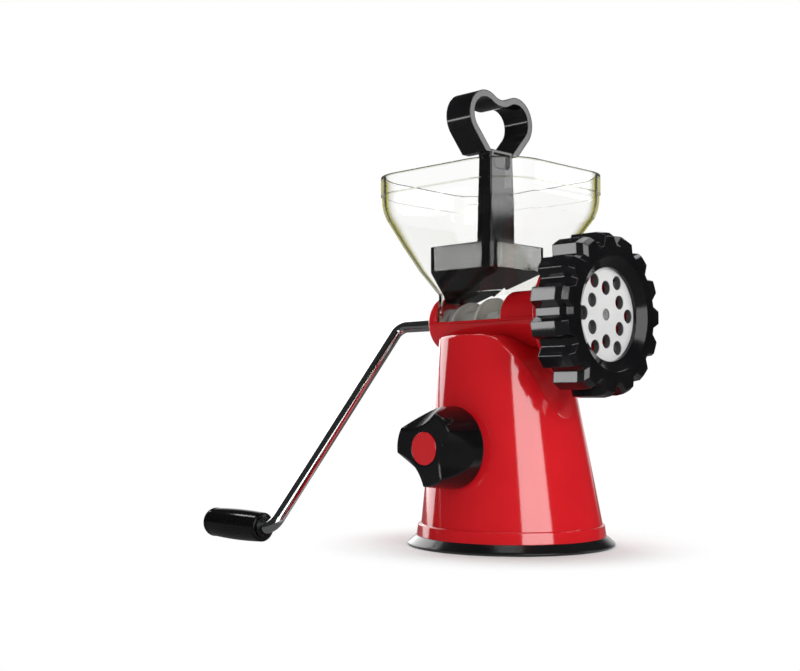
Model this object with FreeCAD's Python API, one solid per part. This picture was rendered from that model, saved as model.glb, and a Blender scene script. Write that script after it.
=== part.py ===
import FreeCAD, Part
import math
import os
from FreeCAD import Vector

# Hand-cranked grinder on a suction foot. Millimetres, +Z up, origin under the middle of the foot.
# +X is the way the meat leaves, -X the crank's side, -Y the knob's side.

# Clearances
FREE_GAP = 0.3
RUNNING_GAP = 0.05
SLIP_GAP = 0.1

# Rubber foot
FOOT_RADIUS = 64.5
FOOT_EDGE = 2.2
FOOT_CHAMFER = 0.7
FOOT_HEIGHT = 6.0
MEMBRANE = 4.0
FOOT_BOSS_RADIUS = 13.0
FOOT_BOSS_HEIGHT = 13.0

# Stand
BAND_RADIUS = 59.0
BAND_HEIGHT = 7.0
BAND_DRAFT = 1.0
BAND_STEP = 1.6
BAND_ROUND = 0.4
PLATEAU_DROP = 10.0
STAND_TOP_RADIUS = 39.8
STAND_LEAN = 6.5
STAND_WALL = 3.0
STAND_EDGE = 2.5
CRADLE_THICKNESS = 8.0
SHOULDER_START = 6.0
SHOULDER_CROWN_RADIUS = 18.0
SHOULDER_CROWN_TURN = 40.0
SHOULDER_BROW_RADIUS = 60.0
SHOULDER_SLOPE = 68.7

# Barrel
AXIS_HEIGHT = 140.0
BARREL_RADIUS = 18.0
BARREL_WALL = 2.5
BARREL_REAR = -55.0
REAR_WALL = 5.0
FEED_REAR = -48.0
FEED_FRONT = 7.0
FLARE_START = 42.0
FLANGE_REAR = 51.0
FLANGE_THICKNESS = 4.2
FLANGE_RADIUS = 41.0
HEAD_RADIUS = 35.5
HEAD_LENGTH = 17.2
HEAD_BORE_RADIUS = 28.0
RIB_HEIGHT = 0.8
RIB_THICKNESS = 1.4
FUNNEL_START = 48.0
FUNNEL_END = 59.0
FLARE_RADIUS = 30.0
BARREL_EDGE = 2.5
PEG_RADIUS = 4.5
PEG_REAR = -24.0
PEG_FRONT = 2.0

# Hole plate and blade
PLATE_RADIUS = 31.0
PLATE_THICKNESS = 4.0
PLATE_PROUD = 1.0
HOLE_RADIUS = 4.25
INNER_HOLE_CIRCLE = 15.8
OUTER_HOLE_CIRCLE = 22.4
HOLES_IN_RING = 6
KEY_WIDTH = 5.0
KEY_DEPTH = 2.6
BLADE_THICKNESS = 4.9
BLADE_REACH = 27.0
BLADE_ARM_WIDTH = 9.0
BLADE_HUB_RADIUS = 9.5
BLADE_ARMS = 4
BLADE_RELIEF = 2.7
BLADE_TURN = 45.0

# Ring nut
NUT_LENGTH = 24.5
NUT_TIP_RADIUS = 49.0
NUT_TOOTH_DEPTH = 5.3
NUT_TEETH = 15
NUT_FIRST_TOOTH = -6.0
NUT_TIP_SHARE = 0.40
NUT_VALLEY_SHARE = 0.24
NUT_EDGE_LENGTH = 7.5
NUT_EDGE_DROP = 3.2
NUT_MOUTH_RADIUS = 27.8
NUT_LAND = 2.4
NUT_FLARE_RADIUS = 34.0
# shares of the front edge's length, each with the share of its drop there
NUT_EDGE_STEPS = ((0.0, 0.0), (0.6, 0.28), (1.0, 1.0))

# Auger
AUGER_TO_BARREL = 0.7
AUGER_PITCH = 22.0
AUGER_TURNS = 4.1
AUGER_TAPER = 21.0
FLIGHT_ROOT = 4.6
FLIGHT_TIP = 2.2
FLIGHT_SUNK = 2.1
CORE_RADIUS = 7.0
AUGER_SHOULDER_RADIUS = 9.5
AUGER_SHOULDER_LENGTH = 2.3
SEAL_THICKNESS = 1.4
JOURNAL_RADIUS = 7.0
JOURNAL_PROUD = 0.7
BUSH_WALL = 3.0
BUSH_FLANGE = 1.5
BUSH_FLANGE_STEP = 2.5
SOCKET_DEPTH = 15.0
BLADE_SQUARE = 8.0
PIN_RADIUS = 3.5
PIN_DIMPLE = 1.6
PIN_SETBACK = 0.8

# Crank
ROD_RADIUS = 4.0
ROD_SQUARE = 6.4
ROD_BEND_RADIUS = 7.0
CRANK_PLANE = -98.0
CRANK_LENGTH = 171.0
CRANK_ANGLE = 40.9
COLLAR_RADIUS = 6.5
COLLAR_LENGTH = 2.6
GRIP_RADIUS = 9.7
GRIP_SHOULDER_RADIUS = 9.0
GRIP_END_RADIUS = 6.4
GRIP_LENGTH = 53.0
GRIP_NOSE = 5.5
GRIP_NOSE_BULGE = 0.9
GRIP_CHAMFER = 1.0
GRIP_SPINDLE_RADIUS = 3.2
GRIP_WASHER_THICKNESS = 1.2
GRIP_WASHER_RADIUS = 6.5
GRIP_CAP_RADIUS = 5.0
GRIP_CAP_THICKNESS = 2.6
GRIP_CAP_ROUND = 0.6
RETAINER_RADIUS = 4.6
RETAINER_THICKNESS = 1.0
RETAINER_SETBACK = 1.6

# Suction knob and its lift
KNOB_HEIGHT = 61.5
KNOB_RADIUS = 25.0
KNOB_FACE_RADIUS = 22.3
KNOB_LENGTH = 25.2
KNOB_WEB = 1.0
KNOB_EDGE = 1.0
KNOB_LOBES = 3
KNOB_LOBE_ANGLE = 48.0
KNOB_NECK_RADIUS = 13.0
KNOB_SCOOP_RADIUS = 34.0
KNOB_SCOOP_TILT = 33.0
KNOB_CAP_RADIUS = 9.75
KNOB_CAP_THICKNESS = 2.8
KNOB_CAP_PROUD = 0.4
KNOB_SEAT_RADIUS = 15.0
KNOB_SEAT_PROUD = 0.3
SPINDLE_RADIUS = 4.0
SPINDLE_REAR = 40.0
SPINDLE_FLAT = 3.0
SPINDLE_BUSH_WALL = 3.0
SPINDLE_BUSH_LENGTH = 10.0
CIRCLIP_THICKNESS = 1.2
CIRCLIP_RADIUS = 6.6
CIRCLIP_MOUTH = 4.8
CAM_RADIUS = 10.0
CAM_THROW = 5.0
CAM_WIDTH = 8.0
CAM_REST_ANGLE = -45.0
STEM_RADIUS = 6.0
STEM_FLANGE_RADIUS = 9.0
STEM_FLANGE_THICKNESS = 3.0
STEM_FLANGE_BOTTOM = 5.0
YOKE_WALL = 5.0
YOKE_THICKNESS = 7.0
YOKE_CORNER = 4.0
SPRING_WIRE = 1.6
SPRING_TURNS = 3.0
SPRING_RADIUS = 8.6

# Base plate and screws
BASE_PLATE_BOTTOM = 27.0
BASE_PLATE_THICKNESS = 3.0
GUIDE_WALL = 3.0
GUIDE_HEIGHT = 8.0
POST_RADIUS = 5.5
POST_SINK = 1.2
POST_HEIGHT = 10.0
SCREW_RADIUS = 2.0
SCREW_HEAD_RADIUS = 3.8
SCREW_HEAD_HEIGHT = 2.4
SCREW_GRIP = 7.0

# Hopper
HOPPER_WALL = 2.4
HOPPER_CENTRE = -15.9
HOPPER_RIM_HALF_X = 59.8
HOPPER_RIM_HALF_Y = 56.4
HOPPER_RIM_CORNER = 30.0
HOPPER_BAND = 12.0
HOPPER_SHOULDER = 15.0
HOPPER_FLARE = 47.9
HOPPER_LIP = 0.8
HOPPER_BOWL_HALF_X = 57.0
HOPPER_BOWL_HALF_Y = 53.8
HOPPER_BOWL_CORNER = 28.0
HOPPER_NECK_CORNER = 6.0
# shares of a stretch's height, each with the share of its spread to the sides there
FLARE_STEPS = ((0.0, 0.0), (0.31, 0.39), (0.65, 0.71), (1.0, 1.0))
RIM_STEPS = ((0.0, 0.0), (0.5, 0.85), (1.0, 1.0))

# Pusher
PUSHER_CENTRE = -11.0
AUGER_TO_PUSHER = 0.9
PUSHER_TIP_HALF_X = 3.0
PUSHER_TIP_HALF_Y = 10.0
PUSHER_TIP_CORNER = 1.5
PUSHER_SEAT = 13.9
PUSHER_HEAD_HEIGHT = 16.0
PUSHER_HEAD_X = -18.75
PUSHER_HEAD_HALF_X = 26.75
PUSHER_GAP = 0.45
PUSHER_HEAD_CORNER = 7.0
SHAFT_HALF_X = 5.35
SHAFT_HALF_Y = 10.9
SHAFT_FLARE = 1.6
LOOP_RISE = 14.0
LOOP_DEPTH = 20.0
LOOP_STRAP = 4.4
LOOP_FOOT_HALF = 15.7
LOOP_HEEL = 6.3
LOOP_FLOOR = 2.0
LOBE_RADIUS = 16.0
LOBE_OFFSET = 14.9
LOBE_RISE = 23.0
LOOP_DIP_RADIUS = 14.0
THUMB_RECESS_DEPTH = 2.0
THUMB_RECESS_HALF = 8.0
THUMB_RECESS_LENGTH = 9.5
THUMB_RECESS_CORNER = 3.5

# Derived places along the barrel
BORE_RADIUS = BARREL_RADIUS - BARREL_WALL
HEAD_REAR = FLANGE_REAR + FLANGE_THICKNESS
HEAD_FRONT = HEAD_REAR + HEAD_LENGTH
PLATE_REAR = HEAD_FRONT + PLATE_PROUD - PLATE_THICKNESS
PLATE_FRONT = PLATE_REAR + PLATE_THICKNESS
BLADE_REAR = PLATE_REAR - SLIP_GAP - BLADE_THICKNESS
NUT_REAR = HEAD_REAR + SLIP_GAP * 2
NUT_FRONT = NUT_REAR + NUT_LENGTH
REAR_WALL_FRONT = BARREL_REAR + REAR_WALL
AUGER_REAR = REAR_WALL_FRONT + SEAL_THICKNESS + 2 * SLIP_GAP
AUGER_RADIUS = BORE_RADIUS - AUGER_TO_BARREL
AUGER_SHOULDER_FRONT = AUGER_REAR + AUGER_SHOULDER_LENGTH
AUGER_TAPER_SLOPE = (AUGER_RADIUS - AUGER_SHOULDER_RADIUS) / AUGER_TAPER
FLIGHT_REAR = AUGER_SHOULDER_FRONT + FLIGHT_ROOT / 2
FLIGHT_FRONT = FLIGHT_REAR + AUGER_PITCH * AUGER_TURNS
JOURNAL_REAR = BARREL_REAR - BUSH_FLANGE - JOURNAL_PROUD
BUSH_RADIUS = JOURNAL_RADIUS + BUSH_WALL

# Derived places of the stand and the suction lift
STAND_TOP = AXIS_HEIGHT - PLATEAU_DROP
BAND_TOP = FOOT_HEIGHT + BAND_HEIGHT
BAND_TOP_RADIUS = BAND_RADIUS - BAND_DRAFT
CONE_RADIUS = BAND_TOP_RADIUS - BAND_STEP
CONE_HEIGHT = STAND_TOP - BAND_TOP
CRADLE_FLOOR = AXIS_HEIGHT - BARREL_RADIUS
CAVITY_TOP = CRADLE_FLOOR - CRADLE_THICKNESS
CONE_SPREAD = (CONE_RADIUS - STAND_TOP_RADIUS) / CONE_HEIGHT
KNOB_SEAT_FACE = CONE_SPREAD * (KNOB_HEIGHT - KNOB_RADIUS - BAND_TOP) - CONE_RADIUS - KNOB_SEAT_PROUD
KNOB_BACK = KNOB_SEAT_FACE - FREE_GAP
KNOB_FRONT = KNOB_BACK - KNOB_LENGTH
SPINDLE_FRONT = KNOB_FRONT + KNOB_CAP_THICKNESS + SCREW_HEAD_HEIGHT + KNOB_WEB
BASE_PLATE_TOP = BASE_PLATE_BOTTOM + BASE_PLATE_THICKNESS
POST_TOP = BASE_PLATE_TOP + POST_HEIGHT
POST_CIRCLE = CONE_RADIUS - CONE_SPREAD * (POST_TOP - BAND_TOP) - STAND_WALL - POST_RADIUS + POST_SINK
CAM_X = CAM_THROW * math.cos(math.radians(CAM_REST_ANGLE))
CAM_Z = KNOB_HEIGHT + CAM_THROW * math.sin(math.radians(CAM_REST_ANGLE))

# Derived heights of the hopper and the pusher
HOPPER_NECK_TOP = AXIS_HEIGHT + BARREL_RADIUS + SLIP_GAP
HOPPER_BOWL_HEIGHT = HOPPER_NECK_TOP + HOPPER_FLARE
HOPPER_TOP = HOPPER_BOWL_HEIGHT + HOPPER_SHOULDER + HOPPER_BAND
PUSHER_TIP_X = FEED_REAR + SLIP_GAP + HOPPER_WALL + PUSHER_GAP + PUSHER_TIP_HALF_X
TAPER_UNDER_TIP = AUGER_TAPER_SLOPE * (PUSHER_TIP_X + PUSHER_TIP_HALF_X - AUGER_SHOULDER_FRONT)
PUSHER_TIP = AXIS_HEIGHT + AUGER_SHOULDER_RADIUS + TAPER_UNDER_TIP + AUGER_TO_PUSHER
PUSHER_HEAD_BOTTOM = HOPPER_NECK_TOP + PUSHER_SEAT
PUSHER_HEAD_TOP = PUSHER_HEAD_BOTTOM + PUSHER_HEAD_HEIGHT
LOOP_BOTTOM = HOPPER_TOP + LOOP_RISE
LOBE_HEIGHT = LOOP_BOTTOM + LOBE_RISE
LOOP_FRONT = PUSHER_CENTRE + SHAFT_HALF_X

X_WAY = Vector(1, 0, 0)
Y_WAY = Vector(0, 1, 0)
Z_WAY = Vector(0, 0, 1)


def rod_x(radius, start, end, y=0.0, z=AXIS_HEIGHT):
    """Cylinder along X between two stations."""
    return Part.makeCylinder(radius, end - start, Vector(start, y, z), X_WAY)


def rod_y(radius, start, end, x=0.0, z=KNOB_HEIGHT):
    """Cylinder along Y between two stations."""
    return Part.makeCylinder(radius, end - start, Vector(x, start, z), Y_WAY)


def rod_z(radius, bottom, top, x=0.0, y=0.0):
    """Cylinder along Z between two heights."""
    return Part.makeCylinder(radius, top - bottom, Vector(x, y, bottom), Z_WAY)


def block(low, high):
    """Box between two corners."""
    low, high = Vector(*low), Vector(*high)
    size = high - low
    return Part.makeBox(size.x, size.y, size.z, low)


def round_z(profile):
    """Solid turned about the vertical axis from (radius, height) points."""
    corners = [Vector(radius, 0, height) for radius, height in profile]
    face = Part.Face(Part.makePolygon(corners + corners[:1]))
    return face.revolve(Vector(0, 0, 0), Z_WAY, 360)


def round_x(profile):
    """Solid turned about the barrel's axis from (station, radius) points."""
    corners = [Vector(station, 0, AXIS_HEIGHT + radius) for station, radius in profile]
    face = Part.Face(Part.makePolygon(corners + corners[:1]))
    return face.revolve(Vector(0, 0, AXIS_HEIGHT), X_WAY, 360)


def rounded_rectangle(half_x, half_y, corner, height, centre_x):
    """Closed wire of a rounded rectangle in a level plane."""
    edges = []
    for turn, (side_x, side_y) in enumerate(((1, 1), (-1, 1), (-1, -1), (1, -1))):
        middle = Vector(centre_x + side_x * (half_x - corner), side_y * (half_y - corner), height)
        arc = [
            middle + Vector(corner * math.cos(angle), corner * math.sin(angle), 0)
            for angle in (math.radians(90 * turn + part) for part in (0, 45, 90))
        ]
        if edges:
            edges.append(Part.makeLine(edges[-1].lastVertex().Point, arc[0]))
        edges.append(Part.Arc(*arc).toShape())
    edges.append(Part.makeLine(edges[-1].lastVertex().Point, edges[0].firstVertex().Point))
    return Part.Wire(edges)


def edges_near(shape, test):
    """Edges of a shape whose middle passes a test."""
    found = []
    for edge in shape.Edges:
        middle = edge.valueAt((edge.FirstParameter + edge.LastParameter) / 2)
        if test(middle, edge):
            found.append(edge)
    return found


def between(share, low, high):
    """Value part of the way from low to high."""
    return low + (high - low) * share


def spun(shape, count, centre, way, start=0.0):
    """Copies of a shape spaced evenly round an axis."""
    copies = []
    for number in range(count):
        copy = shape.copy()
        copy.rotate(centre, way, start + 360.0 * number / count)
        copies.append(copy)
    return copies


def suction_cup():
    """Rubber foot: sealing disc, ring under the stand, and the boss that grips the stem."""
    seat_out = BAND_RADIUS + FREE_GAP
    seat_in = CONE_RADIUS - STAND_WALL - FREE_GAP
    profile = [
        (0, 0),
        (FOOT_RADIUS - FOOT_CHAMFER, 0),
        (FOOT_RADIUS, FOOT_CHAMFER),
        (FOOT_RADIUS, FOOT_EDGE - FOOT_CHAMFER),
        (FOOT_RADIUS - FOOT_CHAMFER, FOOT_EDGE),
        (seat_out, FOOT_HEIGHT),
        (seat_in, FOOT_HEIGHT),
        (seat_in - FOOT_EDGE, MEMBRANE),
        (FOOT_BOSS_RADIUS + MEMBRANE, MEMBRANE),
        (FOOT_BOSS_RADIUS, MEMBRANE * 2),
        (FOOT_BOSS_RADIUS, FOOT_BOSS_HEIGHT),
        (0, FOOT_BOSS_HEIGHT),
    ]
    cup = round_z(profile)
    pocket = rod_z(
        STEM_FLANGE_RADIUS + FREE_GAP,
        STEM_FLANGE_BOTTOM - SLIP_GAP,
        STEM_FLANGE_BOTTOM + STEM_FLANGE_THICKNESS + SLIP_GAP,
    )
    neck = rod_z(STEM_RADIUS + FREE_GAP, STEM_FLANGE_BOTTOM, FOOT_BOSS_HEIGHT + 1)
    return cup.cut(pocket.fuse(neck))


def stand_section(inset):
    """Side view of the stand above its band, cut back by an inset, as a slab across the whole width."""
    top = STAND_TOP - inset
    crown = SHOULDER_CROWN_RADIUS - inset
    brow = SHOULDER_BROW_RADIUS - inset
    turn = math.radians(SHOULDER_CROWN_TURN)
    slope = math.radians(SHOULDER_SLOPE)
    crown_centre = Vector(SHOULDER_START, 0, STAND_TOP - SHOULDER_CROWN_RADIUS)

    def on_arc(centre, radius, angle):
        return centre + Vector(radius * math.sin(angle), 0, radius * math.cos(angle))

    brow_centre = on_arc(crown_centre, SHOULDER_CROWN_RADIUS - SHOULDER_BROW_RADIUS, turn)
    crown_arc = [on_arc(crown_centre, crown, angle) for angle in (0, turn / 2, turn)]
    brow_arc = [on_arc(brow_centre, brow, angle) for angle in (turn, (turn + slope) / 2, slope)]
    foot = brow_arc[-1] + Vector(math.cos(slope), 0, -math.sin(slope)) * BAND_RADIUS
    far = 2 * BAND_RADIUS
    low = -BAND_HEIGHT
    outline = [
        Part.Arc(*crown_arc).toShape(),
        Part.Arc(*brow_arc).toShape(),
        Part.makeLine(brow_arc[-1], foot),
        Part.makeLine(foot, Vector(far, 0, foot.z)),
        Part.makeLine(Vector(far, 0, foot.z), Vector(far, 0, low)),
        Part.makeLine(Vector(far, 0, low), Vector(-far, 0, low)),
        Part.makeLine(Vector(-far, 0, low), Vector(-far, 0, top)),
        Part.makeLine(Vector(-far, 0, top), crown_arc[0]),
    ]
    slab = Part.Face(Part.Wire(outline)).extrude(Vector(0, 2 * far, 0))
    slab.translate(Vector(0, -far, 0))
    return slab


def stand_cone(inset):
    """Cone of the stand, leaning a little to the rear, from under the band to above the plateau."""
    below = BAND_TOP
    above = BARREL_RADIUS
    cone = Part.makeCone(
        CONE_RADIUS + CONE_SPREAD * below - inset,
        STAND_TOP_RADIUS - CONE_SPREAD * above - inset,
        CONE_HEIGHT + below + above,
        Vector(0, 0, BAND_TOP - below),
    )
    cone.rotate(Vector(0, 0, BAND_TOP), Y_WAY, -math.degrees(math.atan(STAND_LEAN / CONE_HEIGHT)))
    return cone


def stand_shell():
    """Leaning cone with a rounded shoulder on its base band, hollow from below."""
    far = 2 * BAND_RADIUS
    above_band = block((-far, -far, BAND_TOP), (far, far, AXIS_HEIGHT))
    form = stand_cone(0).common(stand_section(0)).common(above_band)
    crease = edges_near(form, lambda at, edge: at.z > BAND_TOP + 1 and not isinstance(edge.Curve, Part.Line))
    form = form.makeFillet(STAND_EDGE, crease)
    band = Part.makeCone(BAND_RADIUS, BAND_TOP_RADIUS, BAND_HEIGHT, Vector(0, 0, FOOT_HEIGHT))
    upper_edge = edges_near(band, lambda at, edge: at.z > BAND_TOP - SLIP_GAP and edge.Length > BAND_RADIUS)
    band = band.makeFillet(BAND_ROUND, upper_edge)
    knob_seat = rod_y(KNOB_SEAT_RADIUS, KNOB_SEAT_FACE, -STAND_TOP_RADIUS / 2)
    below_cradle = block((-far, -far, FOOT_HEIGHT - 1), (far, far, CAVITY_TOP))
    cavity = stand_cone(STAND_WALL).common(stand_section(STAND_WALL)).common(below_cradle)
    return form.fuse([band, knob_seat]).cut(cavity)


def post_places():
    """Centres of the four posts that hold the base plate."""
    reach = POST_CIRCLE / math.sqrt(2)
    return [(side_x * reach, side_y * reach) for side_x in (1, -1) for side_y in (1, -1)]


def stand():
    """Red shell with the cradle for the barrel, the spindle's bearings and the base plate's posts."""
    envelope = stand_cone(STAND_WALL / 2)
    posts = [
        rod_z(POST_RADIUS, BASE_PLATE_TOP, POST_TOP, x, y).common(envelope)
        for x, y in post_places()
    ]
    bush_end = KNOB_SEAT_FACE + SPINDLE_BUSH_LENGTH
    bush_radius = SPINDLE_RADIUS + SPINDLE_BUSH_WALL
    inner_seat = rod_y(bush_radius + STAND_WALL, KNOB_SEAT_FACE + STAND_WALL, bush_end)
    rear_bearing = rod_y(SPINDLE_RADIUS + STAND_WALL, SPINDLE_REAR - SPINDLE_BUSH_LENGTH, CONE_RADIUS)
    body = stand_shell().fuse(posts + [inner_seat, rear_bearing.common(envelope)])
    cradle = rod_x(BARREL_RADIUS, -2 * BAND_RADIUS, 2 * BAND_RADIUS)
    bush_bore = rod_y(bush_radius, KNOB_SEAT_FACE - 1, bush_end + 1)
    rear_bore = rod_y(SPINDLE_RADIUS + RUNNING_GAP, 0, SPINDLE_REAR + FREE_GAP)
    pilots = [
        rod_z(SCREW_RADIUS, BASE_PLATE_TOP - 1, BASE_PLATE_TOP + SCREW_GRIP + FREE_GAP, x, y)
        for x, y in post_places()
    ]
    peg_holes = [rod_z(PEG_RADIUS + SLIP_GAP, CAVITY_TOP - 1, AXIS_HEIGHT, x) for x in (PEG_REAR, PEG_FRONT)]
    return body.cut([cradle, bush_bore, rear_bore] + pilots + peg_holes).removeSplitter()


def base_plate():
    """Plate inside the stand, with the collar that guides the stem."""
    slab = block((-BAND_RADIUS, -BAND_RADIUS, BASE_PLATE_BOTTOM), (BAND_RADIUS, BAND_RADIUS, BASE_PLATE_TOP))
    plate = stand_cone(STAND_WALL + FREE_GAP).common(slab)
    bore = STEM_RADIUS + FREE_GAP
    collar = rod_z(bore + GUIDE_WALL, BASE_PLATE_BOTTOM, BASE_PLATE_TOP + GUIDE_HEIGHT)
    holes = [rod_z(SCREW_RADIUS + SLIP_GAP, 0, STAND_TOP, x, y) for x, y in post_places()]
    return plate.fuse(collar).cut(holes + [rod_z(bore, 0, STAND_TOP)]).removeSplitter()


def screw_z(seat, grip, x, y):
    """Screw driven upwards against a level seat."""
    head = rod_z(SCREW_HEAD_RADIUS, seat - SCREW_HEAD_HEIGHT, seat, x, y)
    return head.fuse(rod_z(SCREW_RADIUS, seat - SLIP_GAP, seat + grip, x, y)).removeSplitter()


def base_plate_screws():
    """Four screws from under the base plate into the stand's posts."""
    grip = BASE_PLATE_THICKNESS + SCREW_GRIP
    return Part.makeCompound([screw_z(BASE_PLATE_BOTTOM, grip, x, y) for x, y in post_places()])


def barrel_screws():
    """Two screws from inside the stand into the barrel's pegs."""
    return Part.makeCompound([screw_z(CAVITY_TOP, SCREW_GRIP, x, 0) for x in (PEG_REAR, PEG_FRONT)])


def cup_stem():
    """Stem held in the rubber foot, with a yoke round the cam."""
    reach = CAM_RADIUS + FREE_GAP
    low = (CAM_X - reach, -YOKE_THICKNESS, CAM_Z - reach)
    high = (CAM_THROW + reach, YOKE_THICKNESS, CAM_Z + reach)
    wall = Vector(YOKE_WALL, -YOKE_THICKNESS / 2, YOKE_WALL)
    yoke = block(Vector(*low) - wall, Vector(*high) + wall)
    upright = edges_near(yoke, lambda at, edge: abs(at.y) < SLIP_GAP)
    yoke = yoke.makeFillet(YOKE_CORNER, upright).cut(block(low, high))
    flange = rod_z(STEM_FLANGE_RADIUS, STEM_FLANGE_BOTTOM, STEM_FLANGE_BOTTOM + STEM_FLANGE_THICKNESS)
    shaft = rod_z(STEM_RADIUS, STEM_FLANGE_BOTTOM, low[2] - YOKE_WALL / 2)
    return yoke.fuse([flange, shaft]).removeSplitter()


def stem_spring():
    """Square-wire return spring round the stem, between the foot's boss and the base plate."""
    bottom = FOOT_BOSS_HEIGHT + SPRING_WIRE / 2 + SLIP_GAP
    top = BASE_PLATE_BOTTOM - SPRING_WIRE / 2 - SLIP_GAP
    height = top - bottom
    path = Part.Wire(Part.makeHelix(height / SPRING_TURNS, height, SPRING_RADIUS))
    half = SPRING_WIRE / 2
    corners = [Vector(SPRING_RADIUS + x * half, 0, z * half) for x, z in ((1, 1), (-1, 1), (-1, -1), (1, -1))]
    spring = path.makePipeShell([Part.makePolygon(corners + corners[:1])], True, True)
    spring.translate(Vector(0, 0, bottom))
    return spring


def knob_flat(gap):
    """Slice that makes the spindle's front end and the knob's bore D-shaped."""
    low = KNOB_HEIGHT + SPINDLE_FLAT + gap
    return block((-KNOB_RADIUS, KNOB_FRONT, low), (KNOB_RADIUS, KNOB_BACK, low + KNOB_RADIUS))


def knob_spindle():
    """Cross shaft from the knob through the cam to the far bearing."""
    shaft = rod_y(SPINDLE_RADIUS, SPINDLE_FRONT, SPINDLE_REAR).cut(knob_flat(0))
    clip = circlip_place()
    groove = rod_y(SPINDLE_RADIUS * 2, clip - SLIP_GAP / 2, clip + CIRCLIP_THICKNESS + SLIP_GAP / 2)
    groove = groove.cut(rod_y(SPINDLE_FLAT, SPINDLE_FRONT, SPINDLE_REAR))
    pilot = rod_y(SCREW_RADIUS, SPINDLE_FRONT - 1, SPINDLE_FRONT + SCREW_GRIP)
    return shaft.cut([groove, pilot])


def circlip_place():
    """Station along the spindle where the circlip starts, just inside the bush."""
    return KNOB_SEAT_FACE + SPINDLE_BUSH_LENGTH + SLIP_GAP


def spindle_circlip():
    """Open ring in the spindle's groove."""
    start = circlip_place()
    end = start + CIRCLIP_THICKNESS
    ring = rod_y(CIRCLIP_RADIUS, start, end).cut(rod_y(SPINDLE_FLAT + RUNNING_GAP, start - 1, end + 1))
    half = CIRCLIP_MOUTH / 2
    mouth = block((-half, start - 1, KNOB_HEIGHT), (half, end + 1, STAND_TOP))
    return ring.cut(mouth)


def spindle_bush():
    """Plain bearing of the spindle in the stand's wall."""
    end = KNOB_SEAT_FACE + SPINDLE_BUSH_LENGTH
    outside = rod_y(SPINDLE_RADIUS + SPINDLE_BUSH_WALL, KNOB_SEAT_FACE, end)
    return outside.cut(rod_y(SPINDLE_RADIUS + RUNNING_GAP, KNOB_SEAT_FACE - 1, end + 1))


def lift_cam():
    """Eccentric disc on the spindle."""
    disc = rod_y(CAM_RADIUS, -CAM_WIDTH / 2, CAM_WIDTH / 2, CAM_X, CAM_Z)
    return disc.cut(rod_y(SPINDLE_RADIUS, -CAM_WIDTH, CAM_WIDTH))


def knob():
    """Three-lobed knob: a round disc at the stand, scooped out between the lobes towards its face."""
    axis = Vector(0, 0, KNOB_HEIGHT)
    tilt = math.radians(KNOB_SCOOP_TILT)
    way = Vector(math.sin(tilt), math.cos(tilt), 0)
    offset = KNOB_NECK_RADIUS + KNOB_SCOOP_RADIUS / math.cos(tilt)
    start = axis + Vector(offset, KNOB_FRONT, 0) - way * KNOB_SCOOP_RADIUS
    scoop = Part.makeCylinder(KNOB_SCOOP_RADIUS, KNOB_SCOOP_RADIUS + KNOB_RADIUS * 3, start, way)
    first = -(KNOB_LOBE_ANGLE + 180.0 / KNOB_LOBES)
    blank = Part.makeCone(KNOB_FACE_RADIUS, KNOB_RADIUS, KNOB_LENGTH, axis + Y_WAY * KNOB_FRONT, Y_WAY)
    back = edges_near(blank, lambda at, edge: at.y > KNOB_BACK - SLIP_GAP and edge.Length > KNOB_RADIUS)
    blank = blank.makeFillet(KNOB_EDGE, back)
    lobed = blank.cut(spun(scoop, KNOB_LOBES, axis, Y_WAY, first))
    sharp = edges_near(lobed, lambda at, edge: at.y < KNOB_BACK - KNOB_EDGE * 2 and edge.Length > KNOB_EDGE * 4)
    shared = [edge for edge in sharp if len(lobed.ancestorsOfType(edge, Part.Face)) > 1]
    lobed = lobed.makeFillet(KNOB_EDGE, shared)
    cap_floor = KNOB_FRONT + KNOB_CAP_THICKNESS
    cap_recess = rod_y(KNOB_CAP_RADIUS, KNOB_FRONT - 1, cap_floor)
    head_recess = rod_y(SCREW_HEAD_RADIUS + FREE_GAP, KNOB_FRONT, cap_floor + SCREW_HEAD_HEIGHT)
    screw_hole = rod_y(SCREW_RADIUS + SLIP_GAP, KNOB_FRONT, KNOB_BACK)
    spindle_hole = rod_y(SPINDLE_RADIUS + RUNNING_GAP, SPINDLE_FRONT, KNOB_BACK + 1).cut(knob_flat(RUNNING_GAP))
    return lobed.cut([cap_recess, head_recess, screw_hole, spindle_hole]).removeSplitter()


def knob_cap():
    """Red disc pressed into the knob's face."""
    cap = rod_y(KNOB_CAP_RADIUS - RUNNING_GAP, KNOB_FRONT - KNOB_CAP_PROUD, KNOB_FRONT + KNOB_CAP_THICKNESS)
    rim = edges_near(cap, lambda at, edge: at.y < KNOB_FRONT and edge.Length > KNOB_CAP_RADIUS)
    return cap.makeFillet(KNOB_CAP_PROUD, rim)


def knob_screw():
    """Screw under the cap, from the knob's web into the spindle."""
    seat = SPINDLE_FRONT - KNOB_WEB
    head = rod_y(SCREW_HEAD_RADIUS, seat - SCREW_HEAD_HEIGHT + SLIP_GAP, seat)
    shank = rod_y(SCREW_RADIUS, seat - SLIP_GAP, SPINDLE_FRONT + SCREW_GRIP - SLIP_GAP)
    return head.fuse(shank).removeSplitter()


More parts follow.
